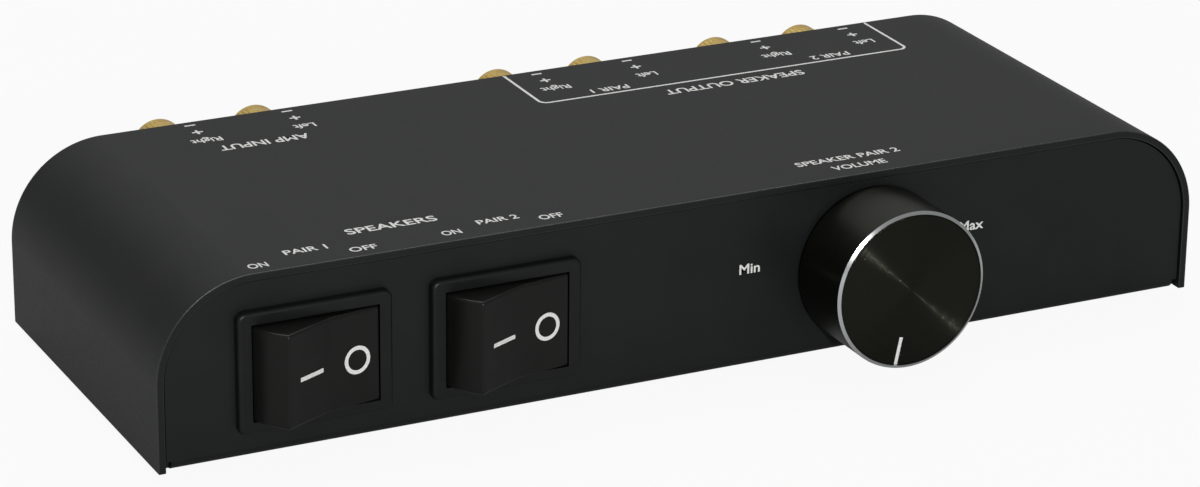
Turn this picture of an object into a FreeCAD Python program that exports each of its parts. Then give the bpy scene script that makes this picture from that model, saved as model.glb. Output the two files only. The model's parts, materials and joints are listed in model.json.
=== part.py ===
import FreeCAD, Part
import math
import os
from FreeCAD import Rotation, Vector

# Speaker selector switch with volume control, in millimetres.
# X runs along the width, Y from the front panel to the rear, Z upwards.
# The origin is under the middle of the whole object, on the surface that it stands on.

# Case
case_width = 224.2
case_depth = 82.2
case_height = 36.9
corner_radius = 19.6
cover_sheet = 1.5
chassis_sheet = 1.2
bend_radius = 0.8
panel_recess = 0.6
panel_gap = 0.3
panel_lower_corner = 1.0

# Feet, brackets and base screws
foot_height = 2.0
foot_radius = 5.0
foot_edge = 0.6
foot_inset_x = 16.0
foot_inset_y = 13.0
bracket_leg = 10.0
bracket_length = 62.0
bracket_sheet = 1.2
base_screw_radius = 1.45
base_screw_head_radius = 2.8
base_screw_head_height = 1.4
base_screw_length = 5.0
base_screw_spacing = 46.0
screw_clearance = 0.25
tapped_clearance = 0.05

# Rocker switches
switch_names = ("1", "2")
switch_insets = (31.1, 70.2)
switch_height = 17.5
bezel_length = 31.0
bezel_height = 24.4
bezel_thickness = 2.0
bezel_corner = 1.6
bezel_edge = 0.7
switch_body_length = 28.4
switch_body_height = 22.0
switch_body_depth = 18.0
switch_floor = 2.0
switch_wall = 0.95
cut_out_clearance = 0.2
pivot_depth = 3.3
rocker_half_length = 10.9
rocker_rise = 7.2
rocker_dip = 1.55
rocker_height = 18.9
rocker_side_gap = 0.3
rocker_end_gap = 0.25
rocker_edge = 0.6
rocker_lip_angle = 4.0
rocker_wall = 1.4
rocker_end_wall = 2.8
rocker_valley_roof = 2.2
rocker_swing = 36.0
trunnion_radius = 1.5
trunnion_length = 0.8
running_clearance = 0.05
boss_half_width = 2.4
boss_reach = 5.0
plunger_radius = 1.3
plunger_reach = 9.0
plunger_seat = 1.8
pole_offset = 4.8
blade_gap = 0.3
blade_sheet = 0.8
blade_width = 3.2
blade_half_length = 7.6
blade_valley = 0.7
blade_valley_half = 3.2
blade_share = 0.5
rivet_radius = 1.1
rivet_height = 0.5
rivet_offset = 6.8
contact_gap = 0.15
tab_sheet = 0.8
tab_width = 4.8
tab_length = 8.0
wing_height = 7.0
wing_length = 6.0
wing_rise = 0.9

# Volume knob
knob_inset = 74.7
knob_height = 17.8
knob_radius = 16.2
knob_length = 16.2
knob_gap = 0.9
knob_chamfer = 0.85
knob_chamfer_depth = 0.5
knob_dish = 0.35
knob_wall = 2.4
knob_back_edge = 0.4
pointer_length = 6.0
pointer_width = 0.65
pointer_depth = 0.3
pointer_angle = 11.5
volume_positions = 12
volume_step = 30.0

# Rotary control behind the knob
shaft_radius = 3.0
shaft_flat = 1.5
insert_wall = 1.6
insert_length = 8.4
bushing_radius = 4.5
bushing_reach = 6.0
bushing_hole_clearance = 0.2
control_radius = 13.0
control_plate = 1.6
locating_tab_width = 2.4
locating_tab_length = 3.0
locating_tab_offset = 9.5
nut_across_flats = 12.0
nut_thickness = 2.0
washer_radius = 7.2
washer_thickness = 0.5
cup_depth = 7.0
cup_wall = 1.0
click_notch = 0.6
click_spring_rise = 1.2
click_spring_half_length = 5.3
click_wheel_thickness = 3.6
click_spring_sheet = 0.5
click_spring_width = 2.6
wafer_radius = 13.0
wafer_thickness = 1.5
wafer_pitch = 10.0
wafer_bore = 4.3
clip_inner = 7.4
clip_outer = 15.4
clip_width = 1.5
clip_tip_width = 1.0
clip_sheet = 0.4
rotor_radius = 4.1
rotor_ring_radius = 6.4
rotor_finger_reach = 8.2
control_screw_radius = 1.2
control_screw_offset = 11.2
control_spacer_radius = 1.9
control_nut_across_flats = 4.6
control_nut_thickness = 1.8

# Transformers, one for each channel
transformer_names = ("left", "right")
transformer_insets = (46.1, 98.1)
transformer_front_clearance = 4.8
transformer_rear_clearance = 3.8
core_width = 41.0
core_stack = 14.0
core_window_width = 7.0
core_yoke = 6.8
core_leg = 6.8
bobbin_flange = 1.0
bobbin_wall = 0.9
bobbin_clearance = 0.2
winding_thickness = 5.0
winding_corner = 3.0
transformer_hole_radius = 1.7
transformer_hole_inset = 3.4
standoff_radius = 3.0
standoff_height = 8.4
transformer_screw_radius = 1.45
transformer_nut_across_flats = 5.5
transformer_nut_thickness = 2.2

# Binding posts; each group stands on one side of the case, its columns so far in from that side
post_groups = (("input", -1, (37.8, 58.9)), ("pair_1", 1, (110.2, 89.1)), ("pair_2", 1, (58.2, 37.3)))
channel_names = ("right", "left")
post_rows = (("negative", 10.6), ("positive", 26.2))
post_panel_hole = 4.6
collar_radius = 5.6
collar_thickness = 3.0
collar_chamfer = 0.7
collar_spigot_clearance = 0.1
flange_radius = 4.7
flange_thickness = 1.0
cap_radius = 5.5
cap_length = 15.2
cap_seat_gap = 0.2
cap_travel = 5.0
cap_knurl_depth = 0.4
cap_knurl_count = 24
cap_chamfer = 0.7
thread_clearance = 0.05
stud_radius = 3.1
stud_end_recess = 0.4
socket_radius = 2.0
socket_length = 11.5
cross_hole_radius = 1.1
cross_hole_offset = 1.7
shank_radius = 2.0
shank_reach = 11.0
bush_radius = 5.2
bush_thickness = 2.0
tag_sheet = 0.5
tag_radius = 3.8
tag_tail_width = 3.0
tag_tail_length = 9.0
tag_eye_radius = 0.8
post_nut_across_flats = 7.0
post_nut_thickness = 3.0

# Places that follow from the sizes above
knob_reach = knob_length + knob_gap - panel_recess
post_reach = collar_thickness + flange_thickness + cap_seat_gap + cap_length - panel_recess
case_front = knob_reach - (knob_reach + case_depth + post_reach) / 2
case_back = case_front + case_depth
case_bottom = foot_height
case_top = case_bottom + case_height
panel_front = case_front + panel_recess
panel_back = panel_front + chassis_sheet
rear_out = case_back - panel_recess
rear_in = rear_out - chassis_sheet
base_top = case_bottom + chassis_sheet
chassis_half = case_width / 2 - cover_sheet - panel_gap
chassis_top = case_top - cover_sheet - panel_gap
case_middle = (case_front + case_back) / 2
switch_x = tuple(inset - case_width / 2 for inset in switch_insets)
rocker_end_radius = switch_body_length / 2 - switch_wall - rocker_end_gap
knob_x = case_width / 2 - knob_inset
transformer_x = tuple(inset - case_width / 2 for inset in transformer_insets)
terminal_end = panel_front + switch_body_depth + tab_length
shank_start = rear_in - shank_reach
core_front = terminal_end + transformer_front_clearance
core_depth = shank_start - transformer_rear_clearance - core_front
core_middle = core_front + core_depth / 2
core_window_depth = core_depth - 2 * core_yoke
X_AXIS = Vector(1, 0, 0)
Y_AXIS = Vector(0, 1, 0)
Z_AXIS = Vector(0, 0, 1)


def box(x0, x1, y0, y1, z0, z1):
    return Part.makeBox(x1 - x0, y1 - y0, z1 - z0, Vector(x0, y0, z0))


def rod(radius, start, length, axis=Y_AXIS):
    return Part.makeCylinder(radius, length, start, axis)


def tube(outer, inner, start, length, axis=Y_AXIS):
    return rod(outer, start, length, axis).cut(rod(inner, start, length, axis))


def prism(points, direction):
    """Extrudes the closed outline through the points by the vector."""
    corners = [Vector(*p) for p in points]
    wire = Part.makePolygon(corners + corners[:1])
    return Part.Face(wire).extrude(direction)


def hexagon(across_flats, hole_radius, start, thickness, axis=Y_AXIS):
    """A hexagonal nut with its hole, its thickness along the axis."""
    corner = across_flats / math.sqrt(3)
    side = X_AXIS if axis is Y_AXIS else Y_AXIS
    corners = []
    for step in range(6):
        turn = Rotation(axis, 60 * step)
        corners.append(start + turn.multVec(side * corner))
    wire = Part.makePolygon(corners + corners[:1])
    return Part.Face(wire).extrude(axis * thickness).cut(rod(hole_radius, start, thickness, axis))


def rounded_block(length, height, corner, centre, depth):
    """A block along Y with rounded corners; centre is the middle of its front face."""
    half_length = length / 2
    half_height = height / 2
    block = box(
        centre.x - half_length, centre.x + half_length,
        centre.y, centre.y + depth,
        centre.z - half_height, centre.z + half_height,
    )
    edges = [e for e in block.Edges if abs(e.tangentAt(e.FirstParameter).y) > 0.99]
    return block.makeFillet(corner, edges)


def edges_near(shape, test):
    """The edges whose centre of mass passes the test."""
    return [e for e in shape.Edges if test(e.CenterOfMass)]


def arch_outline(half_width, bottom, top, radius):
    """The cover's cross-section outline in XZ: straight sides, large radii, flat top."""
    lean = radius * (1 - math.sqrt(0.5))
    corners = (
        Part.makeLine(Vector(-half_width, 0, bottom), Vector(-half_width, 0, top - radius)),
        Part.Arc(
            Vector(-half_width, 0, top - radius),
            Vector(-half_width + lean, 0, top - lean),
            Vector(-half_width + radius, 0, top),
        ).toShape(),
        Part.makeLine(Vector(-half_width + radius, 0, top), Vector(half_width - radius, 0, top)),
        Part.Arc(
            Vector(half_width - radius, 0, top),
            Vector(half_width - lean, 0, top - lean),
            Vector(half_width, 0, top - radius),
        ).toShape(),
        Part.makeLine(Vector(half_width, 0, top - radius), Vector(half_width, 0, bottom)),
        Part.makeLine(Vector(half_width, 0, bottom), Vector(-half_width, 0, bottom)),
    )
    return Part.Face(Part.Wire(corners))


def arch_block(half_width, bottom, top, radius, start, end):
    face = arch_outline(half_width, bottom, top, radius)
    face.translate(Vector(0, start, 0))
    return face.extrude(Vector(0, end - start, 0))


def make_cover():
    """One folded sheet over the top and both sides, open in front, behind and below."""
    outer = arch_block(case_width / 2, case_bottom, case_top, corner_radius, case_front, case_back)
    inner = arch_block(
        case_width / 2 - cover_sheet, case_bottom, case_top - cover_sheet,
        corner_radius - cover_sheet, case_front, case_back,
    )
    return outer.cut(inner)


def base_screw_places():
    """The four base screws: one pair through each bracket."""
    offset = case_width / 2 - cover_sheet - bracket_leg / 2
    half = base_screw_spacing / 2
    return [
        Vector(side * offset, case_middle + way * half, case_bottom)
        for side in (-1, 1)
        for way in (-1, 1)
    ]


def transformer_holes(centre_x):
    """The four mounting holes at the corners of a transformer's core."""
    half_x = core_width / 2 - transformer_hole_inset
    half_y = core_depth / 2 - transformer_hole_inset
    return [
        Vector(centre_x + sx * half_x, core_middle + sy * half_y, case_bottom)
        for sx in (-1, 1)
        for sy in (-1, 1)
    ]


def post_places():
    """Each post's name, column and height above the standing surface."""
    places = []
    for group, side, insets in post_groups:
        for channel, inset in zip(channel_names, insets):
            column = side * (case_width / 2 - inset)
            for pole, height in post_rows:
                places.append((f"{group}_{channel}_{pole}", column, case_bottom + height))
    return places


def tray_section():
    """The folded sheet's section in YZ: front panel, base and rear panel with their two bends."""
    outer = bend_radius + chassis_sheet
    low = case_bottom + outer
    front_bend = Vector(0, panel_front + outer, low)
    rear_bend = Vector(0, rear_out - outer, low)
    diagonal = Vector(0, -math.sqrt(0.5), -math.sqrt(0.5))
    across = Vector(0, math.sqrt(0.5), -math.sqrt(0.5))
    down = Vector(0, 0, -1)
    top = chassis_top
    edges = [
        Part.makeLine(Vector(0, panel_front, top), front_bend - Y_AXIS * outer),
        Part.Arc(
            front_bend - Y_AXIS * outer, front_bend + diagonal * outer, front_bend + down * outer
        ).toShape(),
        Part.makeLine(front_bend + down * outer, rear_bend + down * outer),
        Part.Arc(
            rear_bend + down * outer, rear_bend + across * outer, rear_bend + Y_AXIS * outer
        ).toShape(),
        Part.makeLine(rear_bend + Y_AXIS * outer, Vector(0, rear_out, top)),
        Part.makeLine(Vector(0, rear_out, top), Vector(0, rear_in, top)),
        Part.makeLine(Vector(0, rear_in, top), rear_bend + Y_AXIS * bend_radius),
        Part.Arc(
            rear_bend + Y_AXIS * bend_radius, rear_bend + across * bend_radius,
            rear_bend + down * bend_radius,
        ).toShape(),
        Part.makeLine(rear_bend + down * bend_radius, front_bend + down * bend_radius),
        Part.Arc(
            front_bend + down * bend_radius, front_bend + diagonal * bend_radius,
            front_bend - Y_AXIS * bend_radius,
        ).toShape(),
        Part.makeLine(front_bend - Y_AXIS * bend_radius, Vector(0, panel_back, top)),
        Part.makeLine(Vector(0, panel_back, top), Vector(0, panel_front, top)),
    ]
    return Part.Face(Part.Wire(edges))


def make_chassis():
    """Base, front panel and rear panel folded from one sheet, with the panels' upper corners round."""
    outer_bend = bend_radius + chassis_sheet
    section = tray_section()
    section.translate(X_AXIS * -chassis_half)
    tray = section.extrude(X_AXIS * (2 * chassis_half))
    outline = arch_block(
        chassis_half, case_bottom, chassis_top,
        corner_radius - cover_sheet - panel_gap, panel_front, rear_out,
    )
    tray = tray.common(outline)
    for edge in (-chassis_half, chassis_half - panel_lower_corner):
        for start in (panel_front, rear_out - outer_bend):
            tray = tray.cut(box(
                edge, edge + panel_lower_corner, start, start + outer_bend,
                case_bottom, case_bottom + outer_bend,
            ))

    for x in switch_x:
        centre = Vector(x, panel_front, case_bottom + switch_height)
        tray = tray.cut(rounded_block(
            switch_body_length + 2 * cut_out_clearance,
            switch_body_height + 2 * cut_out_clearance,
            bezel_corner, centre, chassis_sheet,
        ))
    knob_centre = Vector(knob_x, panel_front, case_bottom + knob_height)
    tray = tray.cut(rod(bushing_radius + bushing_hole_clearance, knob_centre, chassis_sheet))
    tray = tray.cut(locating_tab(bushing_hole_clearance, panel_front))
    for name, x, z in post_places():
        tray = tray.cut(rod(post_panel_hole, Vector(x, rear_in, z), chassis_sheet))
    for place in base_screw_places():
        tray = tray.cut(rod(base_screw_radius + screw_clearance, place, chassis_sheet, Z_AXIS))
    for x in transformer_x:
        for place in transformer_holes(x):
            tray = tray.cut(rod(transformer_screw_radius + screw_clearance, place, chassis_sheet, Z_AXIS))
    return tray


def make_bracket(side):
    """The angle inside one side of the cover: its lower leg lies on the base and is tapped."""
    wall = case_width / 2 - cover_sheet
    start = case_middle - bracket_length / 2
    low = base_top
    outline = (
        (wall, start, low),
        (wall, start, low + bracket_leg),
        (wall - bracket_sheet, start, low + bracket_leg),
        (wall - bracket_sheet, start, low + bracket_sheet),
        (wall - bracket_leg, start, low + bracket_sheet),
        (wall - bracket_leg, start, low),
    )
    angle = prism(outline, Vector(0, bracket_length, 0))
    inner = edges_near(
        angle,
        lambda c: abs(c.x - wall + bracket_sheet) < 0.01 and abs(c.z - low - bracket_sheet) < 0.01,
    )
    angle = angle.makeFillet(bend_radius, inner)
    if side < 0:
        angle = angle.mirror(Vector(0, 0, 0), X_AXIS)
    for place in base_screw_places():
        if place.x * side > 0:
            hole = Vector(place.x, place.y, low)
            angle = angle.cut(rod(base_screw_radius + tapped_clearance, hole, bracket_sheet, Z_AXIS))
    return angle


def screw_from_below(place, shank_radius, length):
    """A low cone-edged screw head under the base with its shank upwards."""
    head_low = place - Z_AXIS * base_screw_head_height
    half = base_screw_head_height / 2
    rim = Part.makeCone(base_screw_head_radius - half, base_screw_head_radius, half, head_low, Z_AXIS)
    head = rim.fuse(rod(base_screw_head_radius, head_low + Z_AXIS * half, half, Z_AXIS))
    return head.fuse(rod(shank_radius, place, length, Z_AXIS))


def make_base_screws():
    """Four low-head screws that come up through the base into the brackets."""
    return Part.makeCompound([
        screw_from_below(place, base_screw_radius, base_screw_length)
        for place in base_screw_places()
    ])


def make_feet():
    """Four thin round rubber feet stuck under the base, set well in from its edges."""
    feet = []
    for sx in (-1, 1):
        for y in (case_front + foot_inset_y, case_back - foot_inset_y):
            place = Vector(sx * (case_width / 2 - foot_inset_x), y, 0)
            edge = Part.makeCone(foot_radius - foot_edge, foot_radius, foot_edge, place, Z_AXIS)
            pad = rod(foot_radius, place + Z_AXIS * foot_edge, foot_height - foot_edge, Z_AXIS)
            feet.append(edge.fuse(pad))
    return Part.makeCompound(feet)


def switch_frame(index):
    """The rocker's pivot: the point from which a switch is laid out."""
    return Vector(
        switch_x[index], panel_front - bezel_thickness + pivot_depth, case_bottom + switch_height
    )


def make_switch_housing(index):
    """Bezel and body in one moulding: rocker pocket, snap wings and slots for the terminals."""
    pivot = switch_frame(index)
    face = Vector(pivot.x, panel_front - bezel_thickness, pivot.z)
    bezel = rounded_block(bezel_length, bezel_height, bezel_corner, face, bezel_thickness)
    front = edges_near(bezel, lambda c: abs(c.y - face.y) < 0.01)
    bezel = bezel.makeFillet(bezel_edge, front)
    body = rounded_block(
        switch_body_length, switch_body_height, bezel_corner - cut_out_clearance,
        Vector(pivot.x, panel_front, pivot.z), switch_body_depth,
    )
    housing = bezel.fuse(body)

    opening_height = rocker_height + 2 * rocker_side_gap
    swept_radius = rocker_end_radius + rocker_end_gap
    opening_half = math.sqrt(swept_radius**2 - pivot_depth**2)
    floor = panel_front + switch_body_depth - switch_floor
    low = pivot.z - opening_height / 2
    pocket = box(
        pivot.x - opening_half, pivot.x + opening_half, face.y, floor, low, low + opening_height
    )
    swept = rod(swept_radius, Vector(pivot.x, pivot.y, low), opening_height, Z_AXIS)
    housing = housing.cut(pocket).cut(swept)
    bearing = Vector(pivot.x, pivot.y, pivot.z - rocker_height / 2 - trunnion_length - running_clearance)
    bearing_length = rocker_height + 2 * (trunnion_length + running_clearance)
    housing = housing.cut(rod(trunnion_radius + running_clearance, bearing, bearing_length, Z_AXIS))

    for side in (-1, 1):
        edge = pivot.x + side * switch_body_length / 2
        outline = (
            (edge, panel_back + cut_out_clearance, pivot.z - wing_height / 2),
            (edge + side * wing_rise, panel_back + cut_out_clearance, pivot.z - wing_height / 2),
            (edge, panel_back + cut_out_clearance + wing_length, pivot.z - wing_height / 2),
        )
        housing = housing.fuse(prism(outline, Vector(0, 0, wing_height)))
    for slot in terminal_outlines(index, tapped_clearance):
        housing = housing.cut(slot)
    return housing.removeSplitter()


def rocker_corner():
    """The outer end of a facet, where it meets the rocker's arc end: its distance out and forward."""
    face_angle = math.atan2(rocker_rise, rocker_half_length)
    return rocker_end_radius * math.cos(face_angle), -rocker_end_radius * math.sin(face_angle)


def rocker_outline():
    """The rocker's section about its pivot: two flat facets in a shallow V and arc ends."""
    end_angle = math.radians(-rocker_lip_angle)
    lip_x = rocker_end_radius * math.cos(end_angle)
    lip_y = -rocker_end_radius * math.sin(end_angle)
    face_x, face_y = rocker_corner()
    middle = (math.atan2(-face_y, face_x) + end_angle) / 2
    mid_x = rocker_end_radius * math.cos(middle)
    mid_y = -rocker_end_radius * math.sin(middle)
    inner_x = lip_x - rocker_wall
    edges = [
        Part.makeLine(Vector(-face_x, face_y, 0), Vector(0, -rocker_rise + rocker_dip, 0)),
        Part.makeLine(Vector(0, -rocker_rise + rocker_dip, 0), Vector(face_x, face_y, 0)),
        Part.Arc(Vector(face_x, face_y, 0), Vector(mid_x, mid_y, 0), Vector(lip_x, lip_y, 0)).toShape(),
        Part.makeLine(Vector(lip_x, lip_y, 0), Vector(inner_x, lip_y, 0)),
        Part.makeLine(Vector(inner_x, lip_y, 0), Vector(boss_half_width, boss_reach, 0)),
        Part.makeLine(Vector(boss_half_width, boss_reach, 0), Vector(-boss_half_width, boss_reach, 0)),
        Part.makeLine(Vector(-boss_half_width, boss_reach, 0), Vector(-inner_x, lip_y, 0)),
        Part.makeLine(Vector(-inner_x, lip_y, 0), Vector(-lip_x, lip_y, 0)),
        Part.Arc(Vector(-lip_x, lip_y, 0), Vector(-mid_x, mid_y, 0), Vector(-face_x, face_y, 0)).toShape(),
    ]
    return Part.Face(Part.Wire(edges))


def tilted(shape, pivot, angle):
    """Moves a shape from the switch's own centre to its place, turned by the angle about Z."""
    moved = shape.copy()
    moved.rotate(Vector(0, 0, 0), Z_AXIS, angle)
    moved.translate(pivot)
    return moved


def make_rocker(index):
    """The rocker, pressed at its right end: two facets, arc ends, hollow back, trunnions."""
    half = rocker_height / 2
    block = rocker_outline().extrude(Vector(0, 0, rocker_height))
    block.translate(Vector(0, 0, -half))
    face_x, face_y = rocker_corner()
    valley_y = -rocker_rise + rocker_dip
    rounded = edges_near(
        block,
        lambda c: (abs(c.x) > face_x - rocker_wall and c.y < 0)
        or (abs(c.x) > 0.01 and c.y < valley_y),
    )
    block = block.makeFillet(rocker_edge, rounded)
    shell_half = half - rocker_wall
    for side in (-1, 1):
        outline = (
            (side * (boss_half_width + rocker_wall / 2), valley_y + rocker_valley_roof, 0),
            (side * (face_x - rocker_wall), face_y + rocker_end_wall, 0),
            (side * (rocker_end_radius - rocker_end_wall), rocker_wall, 0),
            (side * (boss_half_width + rocker_wall / 2), boss_reach + rocker_wall, 0),
        )
        pocket = prism(outline, Vector(0, 0, 2 * shell_half))
        pocket.translate(Vector(0, 0, -shell_half))
        block = block.cut(pocket)
    for pole in (-pole_offset, pole_offset):
        block = block.cut(rod(
            plunger_radius + running_clearance, Vector(0, plunger_seat, pole),
            boss_reach, Y_AXIS,
        ))
    pin_length = rocker_height + 2 * trunnion_length
    block = block.fuse(rod(trunnion_radius, Vector(0, 0, -pin_length / 2), pin_length, Z_AXIS))
    return tilted(block, switch_frame(index), rocker_swing / 2)


def make_plungers(index):
    """The two spring plungers in the rocker's boss, one for each pole, with round noses."""
    plungers = []
    for pole in (-pole_offset, pole_offset):
        straight = plunger_reach - plunger_radius
        body = rod(plunger_radius, Vector(0, plunger_seat, pole), straight - plunger_seat)
        nose = Part.makeSphere(plunger_radius, Vector(0, straight, pole))
        plungers.append(body.fuse(nose))
    return tilted(Part.makeCompound(plungers), switch_frame(index), rocker_swing / 2)


def blade_pivot_depth():
    """How far the see-saw blades' pivot line lies behind the rocker's pivot."""
    return plunger_reach + blade_gap


def make_blades(index):
    """Two see-saw contact blades: a dip in the middle for the plunger, a rivet under each end."""
    blades = []
    for pole in (-pole_offset, pole_offset):
        low = pole - blade_width / 2
        rise = -blade_valley
        front = [(-blade_half_length, rise), (-blade_valley_half, rise), (0, 0)]
        front += [(-x, y) for x, y in reversed(front[:-1])]
        back = [(x, y + blade_sheet) for x, y in reversed(front)]
        blade = prism([(x, y, low) for x, y in front + back], Vector(0, 0, blade_width))
        for side in (-1, 1):
            seat = Vector(side * rivet_offset, rise + blade_sheet, pole)
            blade = blade.fuse(rod(rivet_radius, seat, rivet_height))
        blades.append(blade)
    pivot = switch_frame(index) + Y_AXIS * blade_pivot_depth()
    return tilted(Part.makeCompound(blades), pivot, -rocker_swing * blade_share / 2)


def terminal_outlines(index, clearance):
    """The common and switched tabs of both poles, grown by a clearance for their slots."""
    pivot = switch_frame(index)
    centre = pivot + Y_AXIS * blade_pivot_depth()
    closed_tilt = math.radians(rocker_swing * blade_share / 2)
    reach = blade_sheet - blade_valley + rivet_height
    foot = rivet_offset * math.sin(closed_tilt) + reach * math.cos(closed_tilt) + contact_gap
    foot += rivet_radius * math.sin(closed_tilt)
    half = tab_sheet / 2 + clearance
    tabs = []
    for pole in (-pole_offset, pole_offset):
        low = pivot.z + pole - tab_width / 2 + blade_gap - clearance
        height = tab_width - 2 * blade_gap + 2 * clearance
        start = centre.y + blade_sheet + contact_gap
        common = box(
            pivot.x - half, pivot.x + half, start, terminal_end, low, low + height
        )
        tabs.append(common)
        stem_x = pivot.x + rivet_offset + rivet_radius + tab_sheet / 2
        foot_y = centre.y + foot
        outline = (
            (pivot.x + rivet_offset - rivet_radius - clearance, foot_y - clearance, low),
            (stem_x + half, foot_y - clearance, low),
            (stem_x + half, terminal_end, low),
            (stem_x - half, terminal_end, low),
            (stem_x - half, foot_y + tab_sheet + clearance, low),
            (pivot.x + rivet_offset - rivet_radius - clearance, foot_y + tab_sheet + clearance, low),
        )
        tabs.append(prism(outline, Vector(0, 0, height)))
    return tabs


def make_terminals(index):
    return Part.makeCompound(terminal_outlines(index, 0))


def knob_axis_point(y):
    return Vector(knob_x, y, case_bottom + knob_height)


def revolve_about_knob(profile):
    """Turns a profile of (radius, y) pairs about the knob's axis."""
    corners = [Vector(knob_x + r, y, case_bottom + knob_height) for r, y in profile]
    wire = Part.makePolygon(corners + corners[:1])
    return Part.Face(wire).revolve(knob_axis_point(0), Y_AXIS, 360)


def locating_tab(clearance, start):
    """The small tab above the bushing that keeps the control from turning in the panel."""
    centre = knob_axis_point(start) + Z_AXIS * locating_tab_offset
    half_width = locating_tab_width / 2 + clearance
    half_length = locating_tab_length / 2 + clearance
    return box(
        centre.x - half_width, centre.x + half_width, start, start + chassis_sheet,
        centre.z - half_length, centre.z + half_length,
    )


knob_back = panel_front - knob_gap
knob_face = knob_back - knob_length
insert_outer = shaft_radius + insert_wall
insert_back = knob_back - bushing_reach
insert_front = insert_back - insert_length


def make_knob():
    """Turned knob: bright chamfer, slightly dished face, pointer groove, hollow back."""
    rim = knob_radius - knob_wall
    boss = insert_outer + knob_wall
    profile = (
        (0, knob_face + knob_dish),
        (knob_radius - knob_chamfer - knob_dish, knob_face + knob_dish),
        (knob_radius - knob_chamfer, knob_face),
        (knob_radius, knob_face + knob_chamfer_depth),
        (knob_radius, knob_back - knob_back_edge),
        (knob_radius - knob_back_edge, knob_back),
        (rim, knob_back),
        (rim, insert_front - knob_wall / 2),
        (boss, insert_front - knob_wall / 2),
        (boss, insert_back),
        (insert_outer, insert_back),
        (insert_outer, insert_front),
        (0, insert_front),
    )
    knob = revolve_about_knob(profile)
    outer = knob_radius - knob_chamfer
    groove = box(
        knob_x - pointer_width / 2, knob_x + pointer_width / 2,
        knob_face, knob_face + knob_dish + pointer_depth,
        case_bottom + knob_height - outer, case_bottom + knob_height - outer + pointer_length,
    )
    groove.rotate(knob_axis_point(0), Y_AXIS, pointer_angle)
    return knob.cut(groove)


def d_section(radius, start, length):
    """A shaft length with a flat on its upper side."""
    flat = box(
        knob_x - 2 * radius, knob_x + 2 * radius, start, start + length,
        case_bottom + knob_height + shaft_radius - shaft_flat + radius - shaft_radius,
        case_bottom + knob_height + 2 * radius,
    )
    return rod(radius, knob_axis_point(start), length).cut(flat)


def make_knob_insert():
    """The splined sleeve pressed into the knob, with a D-shaped bore for the shaft."""
    sleeve = rod(insert_outer, knob_axis_point(insert_front), insert_length)
    return sleeve.cut(d_section(shaft_radius + running_clearance, insert_front, insert_length))


control_front = panel_back
cup_start = control_front + control_plate
cup_end = cup_start + cup_depth
first_wafer = cup_end + wafer_pitch / 2
wafer_starts = (first_wafer, first_wafer + wafer_pitch)
control_end = wafer_starts[1] + wafer_thickness
shaft_end = control_end + control_nut_thickness


def make_shaft():
    flatted = d_section(shaft_radius, insert_front, insert_length)
    round_part = rod(shaft_radius, knob_axis_point(insert_back), shaft_end - insert_back)
    return flatted.fuse(round_part).removeSplitter()


def control_screw_places(y):
    return [knob_axis_point(y) + X_AXIS * (side * control_screw_offset) for side in (-1, 1)]


def make_bushing():
    """Mounting plate, locating tab and threaded bushing of the rotary control in one casting."""
    reach = bushing_reach - 2 * running_clearance
    plate = rod(control_radius, knob_axis_point(control_front), control_plate)
    start = knob_back - reach
    neck = rod(bushing_radius, knob_axis_point(start), control_front - start)
    casting = plate.fuse(neck).fuse(locating_tab(0, panel_front))
    bore_length = cup_start - start
    casting = casting.cut(rod(shaft_radius + running_clearance, knob_axis_point(start), bore_length))
    for place in control_screw_places(control_front):
        casting = casting.cut(rod(control_screw_radius + tapped_clearance, place, control_plate))
    return casting


def make_panel_washer():
    start = knob_axis_point(panel_front - washer_thickness)
    return tube(washer_radius, bushing_radius + tapped_clearance, start, washer_thickness)


def make_panel_nut():
    start = knob_axis_point(panel_front - washer_thickness - nut_thickness)
    return hexagon(nut_across_flats, bushing_radius + tapped_clearance, start, nut_thickness)


click_cup_inside = control_screw_offset - control_screw_radius - cup_wall


def make_click_cup():
    """The cup that closes the click works; the long screws pass beside its wall."""
    cup = rod(control_radius, knob_axis_point(cup_start), cup_depth)
    cup = cup.cut(rod(click_cup_inside, knob_axis_point(cup_start), cup_depth - cup_wall))
    cup = cup.cut(rod(shaft_radius + running_clearance, knob_axis_point(cup_start), cup_depth))
    for place in control_screw_places(cup_start):
        cup = cup.cut(rod(control_screw_radius + tapped_clearance, place, cup_depth))
    return cup


click_wheel_outer = click_cup_inside - click_spring_sheet - click_spring_rise


def make_click_wheel():
    """The notched wheel on the shaft: one notch for each position of the control."""
    start = cup_start + (cup_depth - cup_wall - click_wheel_thickness) / 2
    wheel = rod(click_wheel_outer, knob_axis_point(start), click_wheel_thickness)
    for step in range(volume_positions):
        notch = knob_axis_point(start) + Z_AXIS * (click_wheel_outer + click_notch)
        cutter = rod(2 * click_notch, notch, click_wheel_thickness)
        cutter.rotate(knob_axis_point(0), Y_AXIS, step * volume_step)
        wheel = wheel.cut(cutter)
    return wheel.cut(rod(shaft_radius, knob_axis_point(start), click_wheel_thickness))


def make_click_spring():
    """A leaf along the cup's wall with a round nose over the wheel's upper notch."""
    start = cup_start + (cup_depth - cup_wall - click_spring_width) / 2
    inside = click_cup_inside
    ring = tube(inside, inside - click_spring_sheet, knob_axis_point(start), click_spring_width)
    keep = box(
        knob_x - click_spring_half_length, knob_x + click_spring_half_length,
        start, start + click_spring_width,
        case_bottom + knob_height, case_bottom + knob_height + 2 * inside,
    )
    leaf = ring.common(keep)
    nose_radius = (inside - click_spring_sheet / 2 - click_wheel_outer) / 2 - contact_gap / 2
    nose_centre = knob_axis_point(start) + Z_AXIS * (click_wheel_outer + contact_gap + nose_radius)
    return leaf.fuse(rod(nose_radius, nose_centre, click_spring_width))


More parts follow.
